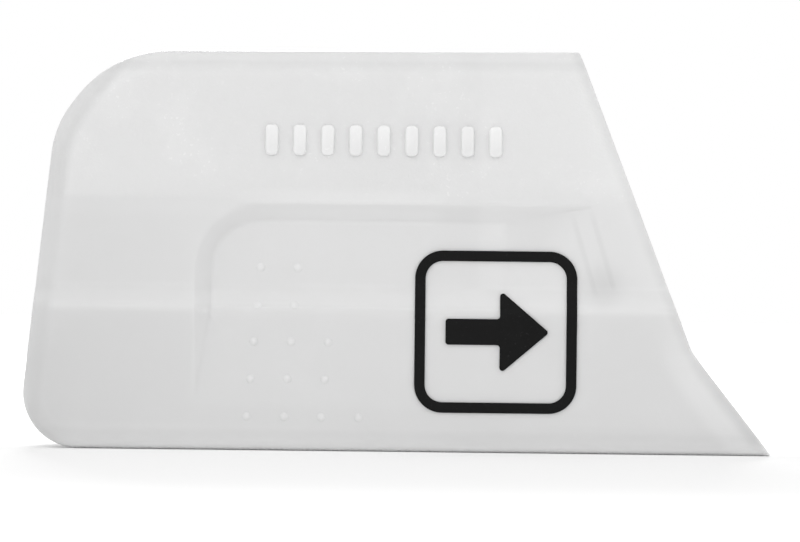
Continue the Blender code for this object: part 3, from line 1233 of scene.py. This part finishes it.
def dot_spots(tree, x, z):
    """1 in the middle of each grip dot, where a highlight is painted, by the rule of its rows and
    columns.
    """
    d = detail_sizes()
    row = maths(tree, "MULTIPLY_ADD", z, 1 / d.dot_pitch, -DOT_START.y / d.dot_pitch)
    first = (CLOSED_END_X + DOT_START.x) / d.dot_pitch
    column = maths(tree, "MULTIPLY_ADD", x, 1 / d.dot_pitch, -first)
    column = maths(tree, "MULTIPLY_ADD", row, -math.tan(DOT_LEAN), column)
    off_row = maths(tree, "SUBTRACT", row, maths(tree, "ROUND", row))
    off_column = maths(tree, "SUBTRACT", column, maths(tree, "ROUND", column))
    distance = root_of_squares(tree, off_row, off_column)
    radius = d.dot_radius / d.dot_pitch
    spots = ease(tree, distance, radius, radius / 3)
    last = len(DOT_ROWS) - 1
    slanted = maths(tree, "MULTIPLY_ADD", row, DOT_FIELD_LEAN, column)
    for value, edge, inward in (
        (row, -DOT_FIELD_EDGE, DOT_FIELD_FADE),
        (row, last + DOT_FIELD_EDGE, -DOT_FIELD_FADE),
        (column, -DOT_FIELD_EDGE, DOT_FIELD_FADE),
        (slanted, DOT_FIELD_RIGHT, -DOT_FIELD_FADE),
    ):
        spots = times(tree, spots, ease(tree, value, edge, edge + inward))
    return spots


def rim_masks(tree, x, z):
    """Masks of painted shade over the wide rim, of painted light and shade along the closed edges, and
    of painted light at the foot, over the shade where the cap stands on the floor.
    """
    s = shell_sizes()
    foot, _, _, top, high_top, high_end = side_corners()
    closed = line_distance(tree, x, z, high_end, foot)
    corner = line_distance(tree, x, z, high_top, high_end)
    above = line_distance(tree, x, z, top, high_top)
    behind = maths(tree, "SMOOTH_MIN", closed, corner, HIGH_CORNER_BLEND)
    edge = maths(tree, "SMOOTH_MIN", behind, above, HIGH_CORNER_BLEND)
    rim = ease_out(tree, behind, *RIM_SHADE)
    low_rim = ease(tree, z, s.rim_wall + 2 * RIM_BLUR, s.rim_wall)
    low_end = ease_out(tree, closed, *LOW_END_SHADE)
    over_crease = ease(tree, z, s.crease - RIM_BLUR, s.crease + 3 * RIM_BLUR)
    closed_end = ease(tree, closed, END_SHADE_REACH, 0)
    return {
        "rim": rim,
        "top_rim": without(tree, band(tree, above, *TOP_SHADE), rim),
        "low_rim": low_rim,
        "low_rim_left": times(tree, low_rim, ease_out(tree, x, *FOOT_SLOPE)),
        "closed_end": without(tree, closed_end, without(tree, over_crease, rim)),
        "low_end": times(tree, low_end, ease_out(tree, z, *LOW_END_HEIGHTS)),
        "edge": ease(tree, edge, EDGE_GLOW_REACH, 0),
        "high_corner": ease(tree, corner, CORNER_GLOW_REACH, 0),
        "foot": ease(tree, z, FOOT_GLOW_REACH, 0),
        "contact": ease(tree, z, CONTACT_GLOW_REACH, 0),
    }


def fold_masks(tree, x, z, rim):
    """Painted shade on the plane below the ramp, painted light on the plane above the crease, and
    painted light along the crease and the ramp.
    """
    s = shell_sizes()
    from_crease = maths(tree, "SUBTRACT", z, s.crease)
    left = ease_out(tree, x, *LEFT_OF_PANEL)
    over_panel = band(tree, x, *OVER_PANEL)
    return {
        "low": ease(tree, z, s.ramp_foot + 2 * RIM_BLUR, s.ramp_foot - RIM_BLUR),
        "high": without(tree, ease(tree, z, s.crease - RIM_BLUR, s.crease + CREASE_FADE), rim),
        "ramp": band(tree, z, *RAMP_LIGHT),
        "under_crease": times(tree, band(tree, from_crease, *CREASE_GLOW), left),
        "crest": times(tree, band(tree, from_crease, *CREST_GLOW), over_panel),
        "panel_slope": times(tree, band(tree, from_crease, *SLOPE_GLOW), over_panel),
    }


def mouth_masks(tree, x, z, high):
    """Painted light and shade along the mouth and at its toe."""
    _, toe, bend, top, _, _ = side_corners()
    lower = line_distance(tree, x, z, toe, bend)
    upper = line_distance(tree, x, z, bend, top)
    mouth = maths(tree, "SMOOTH_MAX", lower, upper, MOUTH_BLEND)
    at_toe = ease(tree, z, bend.y + TOE_STRIP_REACH, bend.y - TOE_STRIP_REACH)
    narrowed = maths(tree, "MULTIPLY_ADD", at_toe, TOE_STRIP_SCALE - 1, 1)
    strip = band(tree, times(tree, mouth, narrowed), *MOUTH_STRIP)
    lip_depth = maths(tree, "MULTIPLY_ADD", at_toe, TOE_LIP_EXTRA, 1)
    from_toe = root_of_squares(tree, maths(tree, "SUBTRACT", x, toe.x), z)
    return {
        "mouth_strip": times(tree, strip, at_toe),
        "mouth_halo": times(tree, high, ease_out(tree, mouth, *MOUTH_HALO)),
        "lip": times(tree, ease(tree, mouth, LIP_SHADE, 0), lip_depth),
        "toe": ease_out(tree, from_toe, *TOE_SHADE),
    }


def inner_masks(tree, x, z):
    """Painted shade where the stop rib and the snap bead would show through the wall, and painted light
    just past the rib.
    """
    s = shell_sizes()
    from_rib = maths(tree, "SUBTRACT", x, from_end(detail_sizes().rib_start))
    above_ramp = ease(tree, z, s.ramp_head, s.ramp_head + RIM_BLUR)
    low, high = bead_ends()
    across = maths(tree, "ABSOLUTE", line_distance(tree, x, z, low, high))
    along = line_distance(tree, x, z, low, low + (high - low).orthogonal())
    end = -(high - low).length
    upper, lower = BEAD_END_BLURS
    span = band(tree, along, end - upper, end + upper, 0, lower)
    return {
        "rib": times(tree, band(tree, from_rib, *RIB_LINE), above_ramp),
        "past_rib": times(tree, ease(tree, from_rib, *PAST_RIB), above_ramp),
        "bead": times(tree, band(tree, across, *BEAD_LINE), span),
        "bead_foot": ease(tree, root_of_squares(tree, across, along), BEAD_SHADE_REACH, 0),
    }


def bar_mask(tree, x, y, z, high):
    """Painted highlight on the tops of the raised bars, stronger in their upper half."""
    s, d = shell_sizes(), detail_sizes()
    lean = (s.top_half_width - s.middle_half_width) / (TOP_Z - s.crease)
    drawn_in = math.tan(s.side_draft)
    start = s.middle_half_width - s.crease * lean - TOE_X * drawn_in
    side = maths(tree, "MULTIPLY_ADD", z, lean, start)
    side = maths(tree, "MULTIPLY_ADD", x, drawn_in, side)
    above_side = maths(tree, "SUBTRACT", maths(tree, "ABSOLUTE", y), side)
    raised = ease(tree, above_side, *(share * d.bar_height for share in BAR_TOP))
    upper = ease(tree, z, *BAR_LIGHT)
    light = maths(tree, "MULTIPLY_ADD", upper, 1 - BAR_LOW_LIGHT, BAR_LOW_LIGHT)
    return times(tree, times(tree, raised, high), light)


def painted_light_and_shade():
    """Light and shade painted into the milky plastic's colour, as a factor of its lightness.

    Painted shade lies over the wide rim, the closed end, the deep lower part of the room, the stop rib
    and the bead, as if they showed through the wall, and painted light lies along the mouth where the
    wall thins out. Painted highlights along edges and folds and on the raised bars and dots are in it as
    well.
    """
    tree, given, out = new_group("painted_light_and_shade", ("Lightness",))
    x, y, z = split_place(tree, given["Vector"])
    masks = rim_masks(tree, x, z)
    masks.update(fold_masks(tree, x, z, masks["rim"]))
    masks.update(mouth_masks(tree, x, z, masks["high"]))
    masks.update(inner_masks(tree, x, z))
    masks["bars"] = bar_mask(tree, x, y, z, masks["high"])
    masks["dots"] = dot_spots(tree, x, z)
    light = 1.0
    for name, amount in PAINTED_LIGHT_AND_SHADE.items():
        light = maths(tree, "MULTIPLY_ADD", masks[name], amount, light)
    tree.links.new(light, out["Lightness"])
    return tree


def handling_marks():
    """Slight clouding of the surface and thin scuffs from handling."""
    tree, given, out = new_group("handling_marks", ("Clouds", "Scuffs"))
    place = given["Vector"]
    tree.links.new(noise(tree, place, "clouds"), out["Clouds"])
    turned = tree.nodes.new("ShaderNodeMapping")
    set_values(turned, {"Rotation": (0, SCUFF_TURN, 0), "Scale": (SCUFF_STRETCH, 1, 1)})
    tree.links.new(place, turned.inputs["Vector"])
    lines = ease(tree, noise(tree, turned.outputs[0], "scuff_lines"), *SCUFF_LINES_COUNT)
    places = ease(tree, noise(tree, place, "scuffed_places"), *SCUFFED_PLACES_COUNT)
    tree.links.new(times(tree, lines, places), out["Scuffs"])
    return tree


def new_material(name, tone):
    """A material with its node tree and shader, and the place on the piece."""
    material = bpy.data.materials.new(name)
    material.use_nodes = True
    material.diffuse_color = (*tone, 1)
    tree = material.node_tree
    place = tree.nodes.new("ShaderNodeTexCoord").outputs["Object"]
    return material, tree, tree.nodes["Principled BSDF"], place


def put_group(tree, place, build):
    """A node of a shared group, which is built the first time."""
    node = tree.nodes.new("ShaderNodeGroup")
    node.node_tree = bpy.data.node_groups.get(build.__name__) or build()
    tree.links.new(place, node.inputs["Vector"])
    return node


def paint(tree, shader, tone, light):
    """Colours a shader, lightened or darkened by a factor."""
    scaled = tree.nodes.new("ShaderNodeVectorMath")
    scaled.operation = "SCALE"
    scaled.inputs[0].default_value = tone
    tree.links.new(light, scaled.inputs["Scale"])
    tree.links.new(scaled.outputs[0], shader.inputs["Base Color"])


def scattering_plastic(name, tone, depth, clouding):
    """Plastic in which light wanders, with its handling marks and a lightness that they cloud."""
    material, tree, shader, place = new_material(name, tone)
    set_values(shader, {"Subsurface Weight": 1, "Subsurface Radius": (1, 1, 1)})
    set_values(shader, {"Subsurface Scale": depth, "IOR": PLASTIC_IOR})
    marks = put_group(tree, place, handling_marks)
    light = maths(tree, "MULTIPLY_ADD", marks.outputs["Clouds"], clouding, 1 - clouding / 2)
    return material, tree, shader, place, marks.outputs["Scuffs"], light


def milky_plastic(name):
    """Milky, a little see-through, with a soft shine, a fine grain above the crease, and light and shade
    painted into its colour.
    """
    f, s = finish_values(), shell_sizes()
    material, tree, shader, place, scuffs, light = scattering_plastic(
        name, f.plastic, f.scatter, CLOUDING
    )
    below, over = GRAIN_EDGE
    upper = ease(tree, split_place(tree, place)["Z"], s.crease + below, s.crease + over)
    grain = put_group(tree, place, moulded_grain)
    amount = maths(tree, "MULTIPLY_ADD", upper, 1 - PLAIN_GRAIN, PLAIN_GRAIN)
    tree.links.new(amount, grain.inputs["Amount"])
    # light and shade painted into the plastic's colour
    wall = put_group(tree, place, painted_light_and_shade)
    light = maths(tree, "MULTIPLY_ADD", grain.outputs["Patches"], PATCH_LIGHT, light)
    # painted glints of the grain's sparkle
    light = maths(tree, "MULTIPLY_ADD", grain.outputs["Painted glints"], SPECK_LIGHT, light)
    paint(tree, shader, f.plastic, times(tree, light, wall.outputs["Lightness"]))
    dull = maths(tree, "MULTIPLY_ADD", upper, GRAIN_ROUGHNESS, PLASTIC_ROUGHNESS)
    dull = maths(tree, "MULTIPLY_ADD", scuffs, SCUFF_ROUGHNESS, dull)
    tree.links.new(dull, shader.inputs["Roughness"])
    bump = tree.nodes.new("ShaderNodeBump")
    set_values(bump, {"Strength": GRAIN_STRENGTH, "Distance": GRAIN_DEPTH})
    tree.links.new(grain.outputs["Height"], bump.inputs["Height"])
    tree.links.new(bump.outputs["Normal"], shader.inputs["Normal"])
    return material


def glowing_inside(name):
    """The plastic on the walls of the room inside, painted paler for the light that comes through."""
    f = finish_values()
    material, tree, shader, _, scuffs, light = scattering_plastic(
        name, f.inside, f.inside_scatter, INSIDE_CLOUDING
    )
    paint(tree, shader, f.inside, light)
    dull = maths(tree, "MULTIPLY_ADD", scuffs, SCUFF_ROUGHNESS, INSIDE_ROUGHNESS)
    tree.links.new(dull, shader.inputs["Roughness"])
    return material


def printing_ink():
    """Matt black ink, a little thinner in tiny spots."""
    f = finish_values()
    material, tree, shader, place = new_material("printing_ink", f.ink)
    set_values(shader, {"IOR": INK_IOR, "Specular IOR Level": INK_SPECULAR})
    thin = ease(tree, noise(tree, place, "thin_ink"), *THIN_INK_COUNTS)
    paint(tree, shader, f.ink, maths(tree, "MULTIPLY_ADD", thin, THIN_INK, 1.0))
    dull = maths(tree, "MULTIPLY_ADD", noise(tree, place, "ink_grain"), *INK_ROUGHNESS)
    tree.links.new(dull, shader.inputs["Roughness"])
    return material


def seen_directly(tree):
    """1 where the camera sees a thing itself, in a gloss or through glass."""
    rays = tree.nodes.new("ShaderNodeLightPath").outputs
    view = maths(tree, "MAXIMUM", rays["Is Camera Ray"], rays["Is Glossy Ray"])
    return maths(tree, "MAXIMUM", view, rays["Is Transmission Ray"])


def pale_floor():
    """A pale floor with a painted glow that the camera sees white: weaker near the cap, so that its
    shadow in front of it shows, and full behind it, where it paints out the cap's shadow.
    """
    tone = finish_values().floor
    material, tree, shader, place = new_material("pale_floor", tone)
    set_values(shader, {"Base Color": (*tone, 1), "Roughness": 1, "Specular IOR Level": 0})
    x, y, _ = split_place(tree, place)
    away = ease(tree, root_of_squares(tree, x, y), *FLOOR_LIFT_REACH)
    behind = ease(tree, y, *FLOOR_LIFT_BEHIND)
    near, far = FLOOR_LIFTS
    lift = maths(tree, "MULTIPLY_ADD", maths(tree, "MAXIMUM", away, behind), far - near, near)
    glow = tree.nodes.new("ShaderNodeEmission")
    set_values(glow, {"Color": WHITE})
    tree.links.new(times(tree, seen_directly(tree), lift), glow.inputs["Strength"])
    both = tree.nodes.new("ShaderNodeAddShader")
    tree.links.new(shader.outputs[0], both.inputs[0])
    tree.links.new(glow.outputs[0], both.inputs[1])
    tree.links.new(both.outputs[0], tree.nodes["Material Output"].inputs["Surface"])
    return material


# Operators


def faces_the_room(face):
    """Whether a face of a shell lies on the walls, the rib or the bead of the room inside."""
    s = shell_sizes()
    place = middle(face)
    if on_mouth(place) or half_width(place.x, place.z) - abs(place.y) < s.face_wall / 2:
        return False
    flat = Vector((place.x, place.z))
    corners = inset_corners(s.rim_wall * ROOM_EDGE, 0)
    return all(
        (corners[index - 1] - corners[index]).cross(flat - corners[index]) < 0
        for index in (0, 1, 4, 5)
    )


def dress_shell(thing, side):
    """Gives a half shell its plastic outside, and on the walls of the room the plastic painted paler for
    the light that comes through.
    """
    thing.data.materials.append(milky_plastic("milky_plastic_" + side))
    thing.data.materials.append(glowing_inside("inside_painted_paler_" + side))
    thing.active_material_index = 1
    enter_edit(thing)
    choose("FACE", faces_the_room)
    bpy.ops.object.material_slot_assign()
    leave_edit(thing)


def place_piece(thing, *nodes):
    """Says what a piece rides on and stands for."""
    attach(thing, "root")
    if nodes:
        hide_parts(*nodes)


class BLADECAP_OT_front_shell(bpy.types.Operator):
    """Build the front half shell, with its tongue and its row of raised bars"""

    bl_idname = "blade_cap.front_shell"
    bl_label = "Front Shell"
    bl_options = {"REGISTER", "UNDO"}

    def execute(self, context):
        s = shell_sizes()
        shell = half_shell("front_half", True)
        face = -s.seam_gap / 2
        combine(shell, rim_band("tongue", 0, face - ROOT, face + TONGUE_HEIGHT), "UNION")
        dress_shell(shell, "front")
        finish_mesh(shell)
        place_piece(shell, "front_shell")
        return {"FINISHED"}


class BLADECAP_OT_back_shell(bpy.types.Operator):
    """Build the back half shell, with the groove for the tongue"""

    bl_idname = "blade_cap.back_shell"
    bl_label = "Back Shell"
    bl_options = {"REGISTER", "UNDO"}

    def execute(self, context):
        s = shell_sizes()
        shell = half_shell("back_half", False)
        face = -s.seam_gap / 2
        floor = face - TONGUE_HEIGHT + s.seam_gap - SEAM_CLEARANCE
        combine(shell, rim_band("groove", SEAM_CLEARANCE, floor, face + ROOT), "DIFFERENCE")
        enter_edit(shell)
        choose_all()
        bpy.ops.transform.resize(value=(1, -1, 1), center_override=(0, 0, 0))
        close_up(shell)
        dress_shell(shell, "back")
        finish_mesh(shell)
        place_piece(shell, "back_shell")
        return {"FINISHED"}


class BLADECAP_OT_printed_mark(bpy.types.Operator):
    """Print the mark, a plain arrow in a rounded frame, on the front shell"""

    bl_idname = "blade_cap.printed_mark"
    bl_label = "Printed Mark"
    bl_options = {"REGISTER", "UNDO"}

    def execute(self, context):
        d = detail_sizes()
        shell = bpy.data.objects.get("front_half")
        if shell is None:
            raise RuntimeError("build the front shell first")
        half = d.print_size / 2
        corners = [
            (PRINT_CENTRE + Vector((half * x, half * z)), PRINT_CORNER)
            for x, z in ((1, -1), (1, 1), (-1, 1), (-1, -1))
        ]
        thing = draw_face("printed_mark", corners, PRINT_PLANE, CORNER_STEPS)
        bpy.ops.mesh.select_mode(type="FACE")
        bpy.ops.mesh.inset(thickness=d.print_stroke, depth=0)
        bpy.ops.mesh.delete(type="ONLY_FACE")
        arrow = [PRINT_CENTRE + half * Vector(point) for point in ARROW]
        start = (arrow[-1] + arrow[0]) / 2
        add_point((start.x, PRINT_PLANE, start.y))
        stops = [(start, 0), *[(point, ARROW_CORNER) for point in arrow], (start, 0)]
        draw_line(stops, PRINT_PLANE, BEND_STEPS)
        choose("VERT", lambda vert: not vert.link_faces)
        bpy.ops.mesh.remove_doubles(threshold=NEAR)
        choose("EDGE", lambda edge: not edge.link_faces)
        bpy.ops.mesh.edge_face_add()
        cut_levels()
        planes = [((0, 0, z), (0, 0, 1)) for z in steps_between(0, TOP_Z, PRINT_PITCH)]
        planes += [((x, 0, 0), (1, 0, 0)) for x in steps_between(CLOSED_END_X, TOE_X, PRINT_PITCH)]
        for place, normal in planes:
            choose_all()
            bpy.ops.mesh.bisect(plane_co=place, plane_no=normal, threshold=NEAR)
        choose_all()
        bpy.ops.mesh.normals_make_consistent(inside=False)
        leave_edit(thing)
        apply_modifier(
            thing,
            "SHRINKWRAP",
            "drape",
            wrap_method="PROJECT",
            use_project_x=False,
            use_project_y=True,
            use_project_z=False,
            use_positive_direction=True,
            use_negative_direction=False,
            offset=d.print_film,
            target=shell,
        )
        apply_modifier(thing, "SOLIDIFY", "film", thickness=2 * d.print_film, offset=0)
        enter_edit(thing)
        close_up(thing)
        finish_mesh(thing)
        thing.data.materials.append(printing_ink())
        place_piece(thing)
        return {"FINISHED"}


def steps_between(low, high, pitch):
    return [low + pitch * step for step in range(1, int((high - low) / pitch))]


class BLADECAP_OT_stage(bpy.types.Operator):
    """Set the pale floor, the soft lights, the white surroundings and the camera"""

    bl_idname = "blade_cap.stage"
    bl_label = "Stage"
    bl_options = {"REGISTER", "UNDO"}

    def execute(self, context):
        scene = context.scene
        choose_nothing()
        bpy.ops.mesh.primitive_circle_add(vertices=96, radius=STAGE_RADIUS, fill_type="NGON")
        floor = context.object
        floor.name = "floor"
        bpy.ops.object.mode_set(mode="EDIT")
        choose_all()
        bpy.ops.transform.translate(value=(0, 0, -FLOOR_DROP))
        leave_edit(floor)
        floor.data.materials.append(pale_floor())
        for name, place, size, watts in LAMPS:
            bpy.ops.object.light_add(type="AREA", location=place)
            lamp = context.object
            lamp.name = name
            lamp.data.shape = "SQUARE"
            lamp.data.size = size
            lamp.data.energy = watts
            lamp.visible_camera = False
            aim = Vector((0, 0, TOP_Z / 2)) - Vector(place)
            lamp.rotation_euler = aim.to_track_quat("-Z", "Y").to_euler()
        world = bpy.data.worlds.new("white_surroundings")
        scene.world = world
        world.use_nodes = True
        tree = world.node_tree
        soft = tree.nodes["Background"]
        set_values(soft, {"Color": WHITE, "Strength": WORLD_STRENGTH})
        seen = tree.nodes.new("ShaderNodeBackground")
        set_values(seen, {"Color": WHITE, "Strength": 1})
        mix = tree.nodes.new("ShaderNodeMixShader")
        tree.links.new(seen_directly(tree), mix.inputs[0])
        tree.links.new(soft.outputs[0], mix.inputs[1])
        tree.links.new(seen.outputs[0], mix.inputs[2])
        tree.links.new(mix.outputs[0], tree.nodes["World Output"].inputs["Surface"])
        bpy.ops.object.camera_add(location=(VIEW_CENTRE.x, -VIEW_DISTANCE, VIEW_CENTRE.y))
        camera = context.object
        camera.name = "camera"
        camera.rotation_euler = (math.radians(90), VIEW_ROLL, 0)
        camera.data.lens = camera.data.sensor_width * (VIEW_DISTANCE + VIEW_PLANE) / VIEW_WIDTH
        camera.data.clip_start = 0.01
        camera.data.clip_end = 10
        scene.camera = camera
        scene.view_settings.view_transform = "Standard"
        return {"FINISHED"}


class BLADECAP_PT_panel(bpy.types.Panel):
    """The cap's sizes, colours and building steps"""

    bl_label = "Blade Cap"
    bl_idname = "BLADECAP_PT_panel"
    bl_space_type = "VIEW_3D"
    bl_region_type = "UI"
    bl_category = "Blade Cap"

    def draw(self, context):
        layout = self.layout
        for place, kind in GROUPS.items():
            box = layout.box()
            values = getattr(context.scene, place)
            for key in kind.__annotations__:
                box.prop(values, key)
        for step in STEPS:
            layout.operator(step.bl_idname)


GROUPS = {
    "blade_cap_outline": BladeCapOutline,
    "blade_cap_shell": BladeCapShell,
    "blade_cap_details": BladeCapDetails,
    "blade_cap_finish": BladeCapFinish,
}
STEPS = (
    BLADECAP_OT_front_shell,
    BLADECAP_OT_back_shell,
    BLADECAP_OT_printed_mark,
    BLADECAP_OT_stage,
)


def register():
    for place, kind in GROUPS.items():
        bpy.utils.register_class(kind)
        setattr(bpy.types.Scene, place, bpy.props.PointerProperty(type=kind))
    for step in (*STEPS, BLADECAP_PT_panel):
        bpy.utils.register_class(step)


def unregister():
    for step in (BLADECAP_PT_panel, *reversed(STEPS)):
        bpy.utils.unregister_class(step)
    for place, kind in reversed(GROUPS.items()):
        delattr(bpy.types.Scene, place)
        bpy.utils.unregister_class(kind)


def main():
    register()
    bpy.ops.blade_cap.front_shell()
    bpy.ops.blade_cap.back_shell()
    bpy.ops.blade_cap.printed_mark()
    bpy.ops.blade_cap.stage()


if __name__ == "__main__":
    main()
